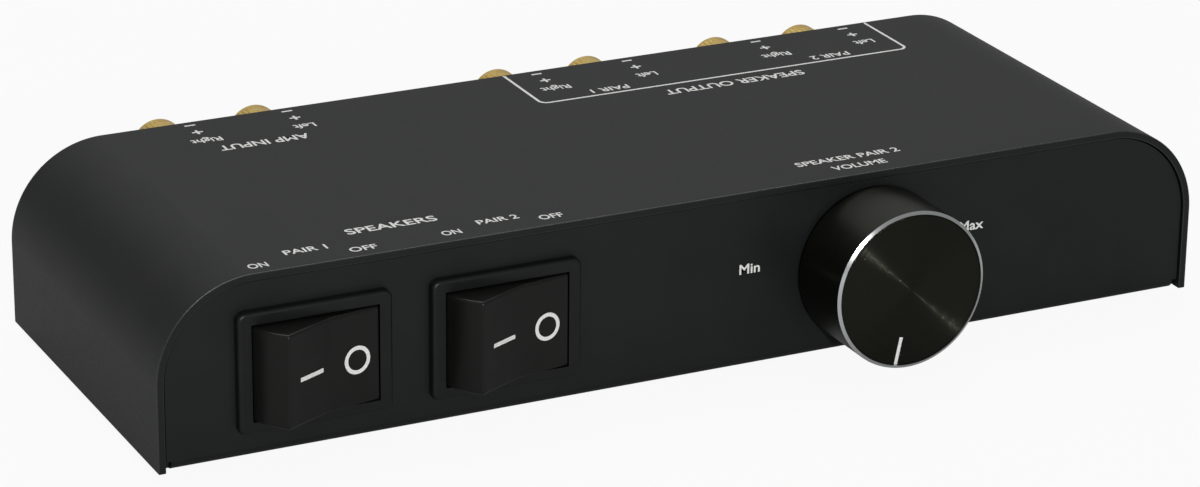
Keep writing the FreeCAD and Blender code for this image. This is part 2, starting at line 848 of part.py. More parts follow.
def make_wafers():
    """Two phenolic wafers, one for each channel, held by the long screws."""
    wafers = []
    for start in wafer_starts:
        disc = tube(wafer_radius, wafer_bore, knob_axis_point(start), wafer_thickness)
        for place in control_screw_places(start):
            disc = disc.cut(rod(control_screw_radius + tapped_clearance, place, wafer_thickness))
        wafers.append(disc)
    return Part.makeCompound(wafers)


def make_wafer_contacts():
    """Twelve clips around the front of each wafer, clear of the two screws."""
    clips = []
    for start in wafer_starts:
        for step in range(volume_positions):
            angle = (step + 0.5) * volume_step
            back = knob_axis_point(start - clip_sheet)
            outline = (
                (back.x - clip_tip_width / 2, back.y, back.z + clip_inner),
                (back.x + clip_tip_width / 2, back.y, back.z + clip_inner),
                (back.x + clip_width / 2, back.y, back.z + wafer_radius - clip_width),
                (back.x + clip_width / 2, back.y, back.z + clip_outer),
                (back.x - clip_width / 2, back.y, back.z + clip_outer),
                (back.x - clip_width / 2, back.y, back.z + wafer_radius - clip_width),
            )
            clip = prism(outline, Vector(0, clip_sheet, 0))
            clip.rotate(knob_axis_point(0), Y_AXIS, angle)
            clips.append(clip)
    return Part.makeCompound(clips)


def make_rotor_contacts():
    """A hub on the shaft inside each wafer, with a ring and the wiping finger behind it."""
    rotors = []
    for start in wafer_starts:
        hub = tube(rotor_radius, shaft_radius, knob_axis_point(start), wafer_thickness + clip_sheet)
        back = wafer_thickness + contact_gap
        ring = tube(
            rotor_ring_radius, shaft_radius, knob_axis_point(start + back), clip_sheet
        )
        finger = box(
            knob_x - clip_width, knob_x + clip_width,
            start + back, start + back + clip_sheet,
            case_bottom + knob_height + (rotor_radius + rotor_ring_radius) / 2,
            case_bottom + knob_height + rotor_finger_reach,
        )
        finger.rotate(knob_axis_point(0), Y_AXIS, volume_step / 2)
        rotors.append(hub.fuse(ring).fuse(finger).removeSplitter())
    return Part.makeCompound(rotors)


def make_control_spacers():
    """Tubes on the long screws that set the wafers apart."""
    spacers = []
    for start, end in (
        (cup_end, wafer_starts[0]),
        (wafer_starts[0] + wafer_thickness, wafer_starts[1]),
    ):
        for place in control_screw_places(start):
            spacers.append(tube(
                control_spacer_radius, control_screw_radius + tapped_clearance, place, end - start
            ))
    return Part.makeCompound(spacers)


def make_control_screws():
    """The two long screws from the mounting plate to the last wafer."""
    length = control_end + control_nut_thickness - control_front
    return Part.makeCompound([
        rod(control_screw_radius, place, length) for place in control_screw_places(control_front)
    ])


def make_control_nuts():
    return Part.makeCompound([
        hexagon(
            control_nut_across_flats, control_screw_radius + tapped_clearance, place,
            control_nut_thickness,
        )
        for place in control_screw_places(control_end)
    ])


def transformer_base(index):
    """The middle of the underside of a transformer's core."""
    return Vector(transformer_x[index], core_middle, base_top + standoff_height)


def make_core(index):
    """Stacked E and I laminations: three legs round two windows."""
    base = transformer_base(index)
    core = box(
        base.x - core_width / 2, base.x + core_width / 2,
        base.y - core_depth / 2, base.y + core_depth / 2,
        base.z, base.z + core_stack,
    )
    for side in (-1, 1):
        middle = base.x + side * (core_width / 2 - core_leg - core_window_width / 2)
        core = core.cut(box(
            middle - core_window_width / 2, middle + core_window_width / 2,
            base.y - core_window_depth / 2, base.y + core_window_depth / 2,
            base.z, base.z + core_stack,
        ))
    for place in transformer_holes(base.x):
        core = core.cut(rod(transformer_hole_radius, Vector(place.x, place.y, base.z), core_stack, Z_AXIS))
    return core


def centre_leg_half():
    return core_width / 2 - core_leg - core_window_width


def bobbin_block(index, margin, length):
    """A block around the core's middle leg, grown by the margin."""
    base = transformer_base(index)
    half_x = centre_leg_half() + margin
    return box(
        base.x - half_x, base.x + half_x, base.y - length / 2, base.y + length / 2,
        base.z - margin, base.z + core_stack + margin,
    )


def make_bobbin(index):
    """Moulded former: a square tube on the middle leg with a flange at each end."""
    inner = bobbin_clearance
    wall = inner + bobbin_wall
    length = core_window_depth - 2 * bobbin_clearance
    former = bobbin_block(index, wall, length)
    base = transformer_base(index)
    flange_block = bobbin_block(index, wall + winding_thickness, bobbin_flange)
    for side in (-1, 1):
        flange = flange_block.copy()
        flange.translate(Y_AXIS * (side * (length - bobbin_flange) / 2))
        former = former.fuse(flange)
    return former.cut(bobbin_block(index, inner, length)).removeSplitter()


def make_winding(index):
    """The coil wound on the former, with rounded corners."""
    start = bobbin_clearance + bobbin_wall
    length = core_window_depth - 2 * bobbin_clearance - 2 * bobbin_flange
    coil = bobbin_block(index, start + winding_thickness - bobbin_clearance, length)
    corners = [e for e in coil.Edges if abs(e.tangentAt(e.FirstParameter).y) > 0.99]
    return coil.makeFillet(winding_corner, corners).cut(bobbin_block(index, start, length))


def make_standoffs():
    tubes = []
    for x in transformer_x:
        for place in transformer_holes(x):
            start = Vector(place.x, place.y, base_top)
            tubes.append(tube(
                standoff_radius, transformer_screw_radius + screw_clearance, start,
                standoff_height, Z_AXIS,
            ))
    return Part.makeCompound(tubes)


def make_transformer_screws():
    """Screws from below the base up through each corner of the cores."""
    length = chassis_sheet + standoff_height + core_stack + transformer_nut_thickness
    return Part.makeCompound([
        screw_from_below(place, transformer_screw_radius, length)
        for x in transformer_x
        for place in transformer_holes(x)
    ])


def make_transformer_nuts():
    nuts = []
    for x in transformer_x:
        for place in transformer_holes(x):
            start = Vector(place.x, place.y, base_top + standoff_height + core_stack)
            nuts.append(hexagon(
                transformer_nut_across_flats, transformer_screw_radius + tapped_clearance, start,
                transformer_nut_thickness, Z_AXIS,
            ))
    return Part.makeCompound(nuts)


collar_front = rear_out + collar_thickness
flange_end = collar_front + flange_thickness
cap_start = flange_end + cap_seat_gap
cap_end = cap_start + cap_length
stud_end = cap_end - stud_end_recess


def turned_on_post(x, z, profile):
    """Turns a profile of (radius, y) pairs about the post's axis."""
    corners = [Vector(x + r, y, z) for r, y in profile]
    wire = Part.makePolygon(corners + corners[:1])
    return Part.Face(wire).revolve(Vector(x, 0, z), Y_AXIS, 360)


def make_collar(x, z):
    """Insulating collar outside the rear panel, with a spigot that fills the panel's hole."""
    hole = shank_radius + tapped_clearance
    spigot = post_panel_hole - collar_spigot_clearance
    return turned_on_post(x, z, (
        (hole, rear_in), (spigot, rear_in), (spigot, rear_out), (collar_radius, rear_out),
        (collar_radius, collar_front - collar_chamfer), (collar_radius - collar_chamfer, collar_front),
        (hole, collar_front),
    ))


def make_stud(x, z):
    """Turned stud: shank, flange, threaded barrel with a banana socket and a wire hole."""
    socket_end = stud_end - socket_length
    stud = turned_on_post(x, z, (
        (0, rear_in - shank_reach), (shank_radius, rear_in - shank_reach), (shank_radius, collar_front),
        (flange_radius, collar_front), (flange_radius, flange_end), (stud_radius, flange_end),
        (stud_radius, stud_end), (socket_radius, stud_end), (socket_radius, socket_end),
        (0, socket_end),
    ))
    across = Vector(x - stud_radius, flange_end + cross_hole_offset, z)
    return stud.cut(rod(cross_hole_radius, across, 2 * stud_radius, X_AXIS))


def knurl_outline(x, y, z, radius):
    """The cap's toothed section, as a closed wire at one place along the axis."""
    corners = []
    for step in range(2 * cap_knurl_count):
        angle = math.pi * step / cap_knurl_count
        reach = radius - cap_knurl_depth * (step % 2)
        corners.append(Vector(x + reach * math.cos(angle), y, z + reach * math.sin(angle)))
    return Part.makePolygon(corners + corners[:1])


def make_cap(x, z):
    """Knurled clamping cap: straight knurl, tapered ends, bored through for the barrel."""
    sections = (
        (cap_start, cap_radius - cap_chamfer), (cap_start + cap_chamfer, cap_radius),
        (cap_end - cap_chamfer, cap_radius), (cap_end, cap_radius - cap_chamfer),
    )
    wires = [knurl_outline(x, y, z, radius) for y, radius in sections]
    cap = Part.makeLoft(wires, True, True)
    return cap.cut(rod(stud_radius + thread_clearance, Vector(x, cap_start, z), cap_length))


def make_bush(x, z):
    start = Vector(x, rear_in - bush_thickness, z)
    return tube(bush_radius, shank_radius + tapped_clearance, start, bush_thickness)


tag_start = rear_in - bush_thickness - tag_sheet


def make_tag(x, z, way):
    """Ring tag under the nut, its tail bent inwards at the end, with an eye for the wire."""
    ring = rod(tag_radius, Vector(x, tag_start, z), tag_sheet)
    half = tag_tail_width / 2
    low = min(z, z + way * tag_tail_length)
    tail = box(x - half, x + half, tag_start, tag_start + tag_sheet, low, low + tag_tail_length)
    tag = ring.fuse(tail)
    eye = Vector(x, tag_start, z + way * (tag_tail_length - tag_tail_width / 2))
    tag = tag.cut(rod(tag_eye_radius, eye, tag_sheet))
    return tag.cut(rod(shank_radius + tapped_clearance, Vector(x, tag_start, z), tag_sheet))


def make_post_nut(x, z):
    start = Vector(x, tag_start - post_nut_thickness, z)
    return hexagon(post_nut_across_flats, shank_radius + tapped_clearance, start, post_nut_thickness)


def build():
    nodes = {}
    nodes["chassis"] = make_chassis()
    nodes["top_cover"] = make_cover()
    nodes["left_cover_bracket"] = make_bracket(-1)
    nodes["right_cover_bracket"] = make_bracket(1)
    nodes["base_screws"] = make_base_screws()
    nodes["rubber_feet"] = make_feet()
    for index, name in enumerate(switch_names):
        nodes[f"switch_housing_{name}"] = make_switch_housing(index)
        nodes[f"rocker_{name}"] = make_rocker(index)
        nodes[f"rocker_plungers_{name}"] = make_plungers(index)
        nodes[f"contact_blades_{name}"] = make_blades(index)
        nodes[f"switch_terminals_{name}"] = make_terminals(index)
    nodes["volume_knob"] = make_knob()
    nodes["knob_insert"] = make_knob_insert()
    nodes["control_shaft"] = make_shaft()
    nodes["control_bushing"] = make_bushing()
    nodes["control_washer"] = make_panel_washer()
    nodes["control_nut"] = make_panel_nut()
    nodes["click_cup"] = make_click_cup()
    nodes["click_wheel"] = make_click_wheel()
    nodes["click_spring"] = make_click_spring()
    nodes["control_wafers"] = make_wafers()
    nodes["wafer_contacts"] = make_wafer_contacts()
    nodes["rotor_contacts"] = make_rotor_contacts()
    nodes["control_spacers"] = make_control_spacers()
    nodes["control_screws"] = make_control_screws()
    nodes["control_screw_nuts"] = make_control_nuts()
    for index, name in enumerate(transformer_names):
        nodes[f"{name}_transformer_core"] = make_core(index)
        nodes[f"{name}_transformer_bobbin"] = make_bobbin(index)
        nodes[f"{name}_transformer_winding"] = make_winding(index)
    nodes["transformer_standoffs"] = make_standoffs()
    nodes["transformer_screws"] = make_transformer_screws()
    nodes["transformer_nuts"] = make_transformer_nuts()

    collars = {"positive": [], "negative": []}
    studs = []
    bushes = []
    tags = []
    post_nuts = []
    for name, x, z in post_places():
        pole = name.rsplit("_", 1)[1]
        collars[pole].append(make_collar(x, z))
        studs.append(make_stud(x, z))
        bushes.append(make_bush(x, z))
        tags.append(make_tag(x, z, 1 if pole == "negative" else -1))
        post_nuts.append(make_post_nut(x, z))
        nodes[f"cap_{name}"] = make_cap(x, z)
    nodes["positive_collars"] = Part.makeCompound(collars["positive"])
    nodes["negative_collars"] = Part.makeCompound(collars["negative"])
    nodes["post_studs"] = Part.makeCompound(studs)
    nodes["post_bushes"] = Part.makeCompound(bushes)
    nodes["solder_tags"] = Part.makeCompound(tags)
    nodes["post_nuts"] = Part.makeCompound(post_nuts)
    return nodes


def main():
    os.makedirs("parts", exist_ok=True)
    for name, shape in build().items():
        shape.exportStep(f"parts/{name}.step")
        print(name, "solids", len(shape.Solids), "volume", round(shape.Volume, 1), "valid", shape.isValid())


main()
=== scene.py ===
import json
import math

import bmesh
import bpy
from mathutils import Matrix, Vector


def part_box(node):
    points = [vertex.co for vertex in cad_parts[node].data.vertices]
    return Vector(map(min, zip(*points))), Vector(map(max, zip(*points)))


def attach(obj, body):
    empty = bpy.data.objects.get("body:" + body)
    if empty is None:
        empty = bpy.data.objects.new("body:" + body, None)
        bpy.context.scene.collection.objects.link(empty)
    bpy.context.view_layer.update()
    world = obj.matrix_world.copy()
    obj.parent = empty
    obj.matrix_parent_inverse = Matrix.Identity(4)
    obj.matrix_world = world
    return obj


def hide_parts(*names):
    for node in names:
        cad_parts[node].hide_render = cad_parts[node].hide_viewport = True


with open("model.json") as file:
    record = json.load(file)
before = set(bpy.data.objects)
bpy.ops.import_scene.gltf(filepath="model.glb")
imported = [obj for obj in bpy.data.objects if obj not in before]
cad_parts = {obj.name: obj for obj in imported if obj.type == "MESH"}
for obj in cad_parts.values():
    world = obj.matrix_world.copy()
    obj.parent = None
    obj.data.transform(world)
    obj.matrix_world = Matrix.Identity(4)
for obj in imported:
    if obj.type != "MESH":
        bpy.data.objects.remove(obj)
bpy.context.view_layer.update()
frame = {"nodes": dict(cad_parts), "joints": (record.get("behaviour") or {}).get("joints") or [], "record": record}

# Speaker selector switch. Sizes are millimetres in the CAD part's own frame: X to the right,
# Y to the rear, Z upwards. Each mesh is scaled to metres as it is finished.

mm = 0.001
yAxis = Vector((0, 1, 0))
zAxis = Vector((0, 0, 1))
nodes = frame["nodes"]


def cornersOf(node):
    low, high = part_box(node)
    return low / mm, high / mm


def pivotOf(jointName):
    joint = next(j for j in frame["joints"] if j["name"] == jointName)
    return Vector(joint["pos_m"]) / mm


def linear(code):
    parts = [int(code[i:i + 2], 16) / 255 for i in (1, 3, 5)]
    return [p / 12.92 if p <= 0.04045 else ((p + 0.055) / 1.055) ** 2.4 for p in parts] + [1.0]


def addNode(tree, kind, inputs=None, **settings):
    node = tree.nodes.new(kind)
    for name, value in settings.items():
        setattr(node, name, value)
    for socket, value in (inputs or {}).items():
        if isinstance(value, bpy.types.NodeSocket):
            tree.links.new(value, node.inputs[socket])
        else:
            node.inputs[socket].default_value = value
    return node


def newMaterial(name, sockets):
    material = bpy.data.materials.new(name)
    material.use_nodes = True
    tree = material.node_tree
    shader = tree.nodes["Principled BSDF"]
    for socket, value in sockets.items():
        shader.inputs[socket.replace("_", " ")].default_value = value
    return material, tree, shader, tree.nodes.new("ShaderNodeTexCoord").outputs["Object"]


noiseSpan = (0.3, 0.7)  # nearly all of a noise texture's values lie between these


def setColours(ramp, dark, light):
    for stop, place, colour in zip(ramp.color_ramp.elements, noiseSpan, (dark, light)):
        stop.position = place
        stop.color = linear(colour)


def makeFinish(
    name, dark, light, rough, spread=0.05, patch=6.0, grain=0.25, relief=0.006, bands=None, **sockets
):
    # patch is the size of the areas that differ in tone, grain that of the surface's texture and
    # relief its height, in millimetres; bands, a direction and a pitch, draws threads or layers
    material, tree, shader, coords = newMaterial(name, sockets)
    patches = addNode(tree, "ShaderNodeTexNoise", {
        "Vector": coords, "Scale": 1 / (patch * mm), "Detail": 3.0,
    })
    skin = addNode(tree, "ShaderNodeTexNoise", {
        "Vector": coords, "Scale": 1 / (grain * mm), "Detail": 3.0,
    })
    tone, height = patches.outputs["Fac"], skin.outputs["Fac"]
    if bands:
        direction, pitch = bands
        # at scale 1 the wave texture repeats every twentieth of tau
        wave = addNode(tree, "ShaderNodeTexWave", {
            "Vector": coords, "Scale": math.tau / 20 / (pitch * mm),
        }, bands_direction=direction)
        tone = height = wave.outputs["Fac"]
    ramp = addNode(tree, "ShaderNodeValToRGB", {"Fac": tone})
    setColours(ramp, dark, light)
    tree.links.new(ramp.outputs["Color"], shader.inputs["Base Color"])
    polish = addNode(tree, "ShaderNodeMapRange", {
        "Value": skin.outputs["Fac"], "From Min": noiseSpan[0], "From Max": noiseSpan[1],
        "To Min": rough - spread, "To Max": rough + spread,
    })
    tree.links.new(polish.outputs["Result"], shader.inputs["Roughness"])
    bump = addNode(tree, "ShaderNodeBump", {
        "Height": height, "Distance": relief * mm, "Strength": 0.7,
    })
    tree.links.new(bump.outputs["Normal"], shader.inputs["Normal"])
    return material


def finishPiece(bm, name, body, materials, sharpAngle=35, weighted=False):
    # makes the object, smooth but for edges past sharpAngle degrees; weighted keeps flat faces flat
    bmesh.ops.scale(bm, vec=(mm, mm, mm), verts=bm.verts)
    mesh = bpy.data.meshes.new(name)
    bm.to_mesh(mesh)
    bm.free()
    for material in materials:
        mesh.materials.append(material)
    mesh.polygons.foreach_set("use_smooth", [True] * len(mesh.polygons))
    mesh.set_sharp_from_angle(angle=math.radians(sharpAngle))
    piece = bpy.data.objects.new(name, mesh)
    bpy.context.scene.collection.objects.link(piece)
    if weighted:
        piece.modifiers.new("flatFacesFirst", "WEIGHTED_NORMAL").keep_sharp = True
    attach(piece, body)
    return piece


def turn(bm, profile, centre, along, steps):
    # spins (radius, distance along the axis) pairs about an axis through centre
    points = [bm.verts.new(centre + Vector((r, 0, 0)) + along * d) for r, d in profile]
    edges = [bm.edges.new(pair) for pair in zip(points, points[1:])]
    bmesh.ops.spin(
        bm, geom=points + edges, cent=centre, axis=along, dvec=(0, 0, 0),
        angle=math.tau, steps=steps, use_merge=True,
    )
    bmesh.ops.remove_doubles(bm, verts=bm.verts, dist=1e-4)
    bmesh.ops.recalc_face_normals(bm, faces=bm.faces)


def roundEdges(bm, size, segments, least=50, most=180):
    # rounds every edge whose faces turn by more than least and less than most degrees
    least, most = math.radians(least), math.radians(most)
    edges = [
        e for e in bm.edges
        if len(e.link_faces) == 2 and least < e.calc_face_angle() <= most
    ]
    bmesh.ops.bevel(
        bm, geom=edges, offset=size, offset_type="OFFSET", segments=segments, profile=0.5,
        affect="EDGES", clamp_overlap=True, material=-1,
    )


# Camera, at the photograph's place

camera = {
    "place": (-357.75, -726.37, 330.03), "turnDeg": 26.14, "downDeg": 21.27, "rollDeg": 0.59,
    "focalPixels": 4296.4, "imageWidth": 1200, "sensor": 36.0, "nearAndFar": (0.05, 20.0),
}


def placeCamera():
    data = bpy.data.cameras.new("photoCamera")
    data.sensor_width = camera["sensor"]
    data.lens = camera["focalPixels"] / camera["imageWidth"] * camera["sensor"]
    data.clip_start, data.clip_end = camera["nearAndFar"]
    viewer = bpy.data.objects.new("photoCamera", data)
    bpy.context.scene.collection.objects.link(viewer)
    turned, down, roll = (math.radians(camera[k]) for k in ("turnDeg", "downDeg", "rollDeg"))
    level = math.cos(down)
    forward = Vector((math.sin(turned) * level, math.cos(turned) * level, -math.sin(down)))
    right = Vector((math.cos(turned), -math.sin(turned), 0))
    up = right.cross(forward)
    across = right * math.cos(roll) + up * math.sin(roll)
    above = up * math.cos(roll) - right * math.sin(roll)
    facing = Matrix((across, above, -forward)).transposed().to_4x4()
    viewer.matrix_world = Matrix.Translation(Vector(camera["place"]) * mm) @ facing
    bpy.context.scene.camera = viewer


placeCamera()
print("camera placed")

# Materials of the case: satin powder coat on sheet steel, an even dark skin whose very fine
# orange peel has bumps about 0.35 mm across and a hundredth high. Over the rounded edges of the
# cover's sheet it is glossier, and its lighter colour there is a painted highlight.

coat = makeFinish(
    "satinPowderCoat", "#101212", "#141615", 0.47, patch=9.0, grain=0.35, relief=0.012,
    Specular_IOR_Level=0.25,
)
# the rounded edges' lighter colour is a painted highlight; their lower roughness is real gloss
glossyEdgeCoatPaintedHighlight = makeFinish(
    "thinPowderCoat", "#1C1E1F", "#232526", 0.27, patch=9.0, grain=0.35, relief=0.004,
)

# Printing: pad-printed white ink, thin and slightly rough, a little uneven at 0.25 mm

ink = makeFinish("padPrintedInk", "#D2D3D0", "#ECEDEA", 0.55, patch=0.25, grain=0.2, relief=0.003)

# Cover: one folded sheet, which leaves room for the ink below the solid's top. Faces that turn to
# the front or rear by more than the first slope and less than the second are its rounded edges.

cover = {
    "cornerRadius": 19.6, "sheet": 1.5, "cornerSteps": 44, "edgeRound": 0.2, "below": 0.03,
    "edgeSlopes": (0.15, 0.98),
}


def makeCover():
    low, high = cornersOf("top_cover")
    high.z -= cover["below"]
    bm = bmesh.new()
    corners = ((low.x, low.z), (low.x, high.z), (high.x, high.z), (high.x, low.z))
    arch = [bm.verts.new((x, low.y, z)) for x, z in corners]
    bm.faces.new(arch)
    bmesh.ops.bevel(
        bm, geom=arch[1:3], offset=cover["cornerRadius"], offset_type="OFFSET",
        segments=cover["cornerSteps"], profile=0.5, affect="VERTICES", material=-1,
    )
    grown = bmesh.ops.extrude_face_region(bm, geom=bm.faces[:])["geom"]
    rear = [g for g in grown if isinstance(g, bmesh.types.BMVert)]
    bmesh.ops.translate(bm, vec=(0, high.y - low.y, 0), verts=rear)
    bmesh.ops.recalc_face_normals(bm, faces=bm.faces)
    # the sheet has no front, rear or bottom
    openSides = [f for f in bm.faces if abs(f.normal.y) > 0.9 or f.normal.z < -0.9]
    bmesh.ops.delete(bm, geom=openSides, context="FACES")
    bmesh.ops.solidify(bm, geom=bm.faces[:], thickness=cover["sheet"])
    roundEdges(bm, cover["edgeRound"], 2)
    bmesh.ops.recalc_face_normals(bm, faces=bm.faces)
    least, most = cover["edgeSlopes"]
    # the rounded edges take the edge coat, whose lighter colour is a painted highlight
    for face in bm.faces:
        face.material_index = 1 if least < abs(face.normal.y) < most else 0
    piece = finishPiece(bm, "coverShell", "case", [coat, glossyEdgeCoatPaintedHighlight], weighted=True)
    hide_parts("top_cover")


makeCover()
print("cover made")

# Knob

knob = {
    "radius": 16.2, "face": -58.75, "back": -42.55, "backRound": 0.4, "steps": 192, "sharpDeg": 25,
    "chamfer": 0.85, "chamferDepth": 0.5, "bareWidth": 0.62, "dish": 0.15, "dishEdge": 0.1,
    "rim": 13.8, "hollowEnd": -52.2, "bossRadius": 7.0, "bossEnd": -48.55,
    "boreRadius": 4.6, "boreEnd": -56.95,
}
pointer = {
    "length": 5.85, "width": 0.72, "outerEnd": 15.55, "turnDeg": 11.5, "proud": 0.1, "deep": 0.25,
    "edgeRound": 0.06,
}
knobCentre = pivotOf("volume_turn")
knobCentre.y = 0
ringSpread = 0.04  # how far the roughness of the turned rings goes up and down


def makeSpunAluminium(name, dark, light, rough, stretch, pitch, relief):
    # aluminium turned in a lathe and anodised black, or cut bright: the fine rings left by the
    # tool, pitch apart and relief high in millimetres, pull each highlight into a streak across them
    material, tree, shader, coords = newMaterial(name, {"Metallic": 1.0, "Anisotropic": stretch})
    centred = addNode(tree, "ShaderNodeMapping", {"Vector": coords, "Location": knobCentre * -mm})
    parts = addNode(tree, "ShaderNodeSeparateXYZ", {"Vector": centred.outputs["Vector"]})
    flat = addNode(tree, "ShaderNodeCombineXYZ", {"X": parts.outputs["X"], "Y": parts.outputs["Z"]})
    distance = addNode(tree, "ShaderNodeVectorMath", {0: flat.outputs["Vector"]}, operation="LENGTH")
    along = addNode(tree, "ShaderNodeMath", {
        0: distance.outputs["Value"], 1: parts.outputs["Y"],
    }, operation="ADD")
    rings = addNode(tree, "ShaderNodeTexNoise", {
        "W": along.outputs["Value"], "Scale": 1 / (pitch * mm), "Detail": 2.0,
    }, noise_dimensions="1D")
    ramp = addNode(tree, "ShaderNodeValToRGB", {"Fac": rings.outputs["Fac"]})
    setColours(ramp, dark, light)
    tree.links.new(ramp.outputs["Color"], shader.inputs["Base Color"])
    polish = addNode(tree, "ShaderNodeMapRange", {
        "Value": rings.outputs["Fac"], "To Min": rough - ringSpread, "To Max": rough + ringSpread,
    })
    tree.links.new(polish.outputs["Result"], shader.inputs["Roughness"])
    bump = addNode(tree, "ShaderNodeBump", {
        "Height": rings.outputs["Fac"], "Distance": relief * mm, "Strength": 1.0,
    })
    tree.links.new(bump.outputs["Normal"], shader.inputs["Normal"])
    way = addNode(tree, "ShaderNodeTangent", direction_type="UV_MAP", uv_map="rings")
    tree.links.new(way.outputs["Tangent"], shader.inputs["Tangent"])
    return material


knobFaceMetal = makeSpunAluminium(
    "spunBlackAnodisedAluminium", "#24241F", "#2E2E28", 0.2, 1.0, 0.12, 0.05,
)
knobSideMetal = makeSpunAluminium(
    "turnedBlackAnodisedAluminium", "#2A2A27", "#343430", 0.34, 0.6, 0.15, 0.005,
)
bareMetal = makeSpunAluminium(
    "diamondCutAluminium", "#C4C8C9", "#DFE2E2", 0.22, 0.5, 0.1, 0.005,
)


vPerRadian = 10


def addRingMap(bm):
    # a UV map that runs outwards and round the knob, whose tangent crosses the turned rings; it
    # drives the anisotropy alone, so the scale of V is free
    rings = bm.loops.layers.uv.new("rings")
    for face in bm.faces:
        middle = face.calc_center_median() - knobCentre
        heading = math.atan2(middle.z, middle.x)
        for loop in face.loops:
            spot = loop.vert.co - knobCentre
            reach = math.hypot(spot.x, spot.z)
            onAxis = reach < knob["dishEdge"]
            turned = 0.0 if onAxis else math.atan2(spot.z, spot.x) - heading
            turned = (turned + math.pi) % math.tau - math.pi
            loop[rings].uv = (reach + spot.y, turned * vPerRadian)


def makeKnob():
    k = knob
    chamferEnd = k["face"] + k["chamferDepth"]
    bareStart = k["radius"] - k["bareWidth"]
    bareFace = k["face"] + k["chamferDepth"] * (1 - k["bareWidth"] / k["chamfer"])
    outer = k["radius"] - k["chamfer"]
    profile = (
        (0, k["face"] + k["dish"]), (outer - k["dishEdge"], k["face"] + k["dish"]),
        (outer, k["face"]), (bareStart, bareFace), (k["radius"], chamferEnd),
        (k["radius"], k["back"] - k["backRound"]), (k["radius"] - k["backRound"], k["back"]),
        (k["rim"], k["back"]), (k["rim"], k["hollowEnd"]), (k["bossRadius"], k["hollowEnd"]),
        (k["bossRadius"], k["bossEnd"]), (k["boreRadius"], k["bossEnd"]),
        (k["boreRadius"], k["boreEnd"]), (0, k["boreEnd"]),
    )
    bm = bmesh.new()
    turn(bm, profile, knobCentre, yAxis, k["steps"])
    addRingMap(bm)
    for face in bm.faces:
        middle = face.calc_center_median() - knobCentre
        ahead = middle.y < chamferEnd
        inFace = math.hypot(middle.x, middle.z) < bareStart
        face.material_index = 1 if not ahead else 0 if inFace else 2
    metals = [knobFaceMetal, knobSideMetal, bareMetal]
    piece = finishPiece(bm, "knobBody", "volume_control", metals, k["sharpDeg"])
    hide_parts("volume_knob")


def makePointer():
    # an inlaid line, built upright on the axis and then turned to its place
    height = pointer["proud"] + pointer["deep"]
    middle = (0, (pointer["deep"] - pointer["proud"]) / 2, pointer["length"] / 2 - pointer["outerEnd"])
    turned = Matrix.Rotation(math.radians(pointer["turnDeg"]), 3, "Y")
    bm = bmesh.new()
    bmesh.ops.create_cube(bm, size=1.0)
    bmesh.ops.scale(bm, vec=(pointer["width"], height, pointer["length"]), verts=bm.verts)
    bmesh.ops.translate(bm, vec=middle, verts=bm.verts)
    bmesh.ops.rotate(bm, cent=(0, 0, 0), matrix=turned, verts=bm.verts)
    bmesh.ops.translate(bm, vec=knobCentre + yAxis * (knob["face"] + knob["dish"]), verts=bm.verts)
    roundEdges(bm, pointer["edgeRound"], 2)
    finishPiece(bm, "knobPointer", "volume_control", [ink])


makeKnob()
makePointer()
print("knob made")

# Gold-plated caps: a straight knurl, and a smooth band before the outer end

cap = {
    "radius": 5.5, "bore": 3.15, "chamfer": 0.7, "chamferLength": 0.9, "endRound": 0.25,
    "roundDepth": 0.075, "teeth": 40, "pointsPerTooth": 4, "toothDepth": 0.12,
    "band": 0.9, "bandStep": 0.4, "sharpDeg": 30,
}

# gold-plated turned brass: warm, bright, a little browner in places; its thread has 0.75 mm pitch

goldPlate = makeFinish(
    "goldPlatedBrass", "#E3BE6A", "#F6D988", 0.3, 0.06, 3.0, 0.2, 0.004, Metallic=1.0,
)
goldThread = makeFinish(
    "goldPlatedThread", "#E3BE6A", "#F6D988", 0.3, 0.06, 3.0, 0.2, 0.2, ("Y", 0.75), Metallic=1.0,
)


def capStations(low, high):
    # from end to end and back through the bore: (place along the axis, radius, knurled)
    r, c, b, e = cap["radius"], cap["chamfer"], cap["bore"], cap["endRound"]
    bandEnd = high - cap["chamferLength"]
    bandStart = bandEnd - cap["band"]
    return (
        (low, b, False), (low, r - c - e, False), (low + cap["roundDepth"], r - c, False),
        (low + cap["chamferLength"], r, True), (bandStart - cap["bandStep"], r, True),
        (bandStart, r, False), (bandEnd, r, False), (high - cap["roundDepth"], r - c, False),
        (high, r - c - e, False), (high, b + e, False), (high - e, b, False),
    )


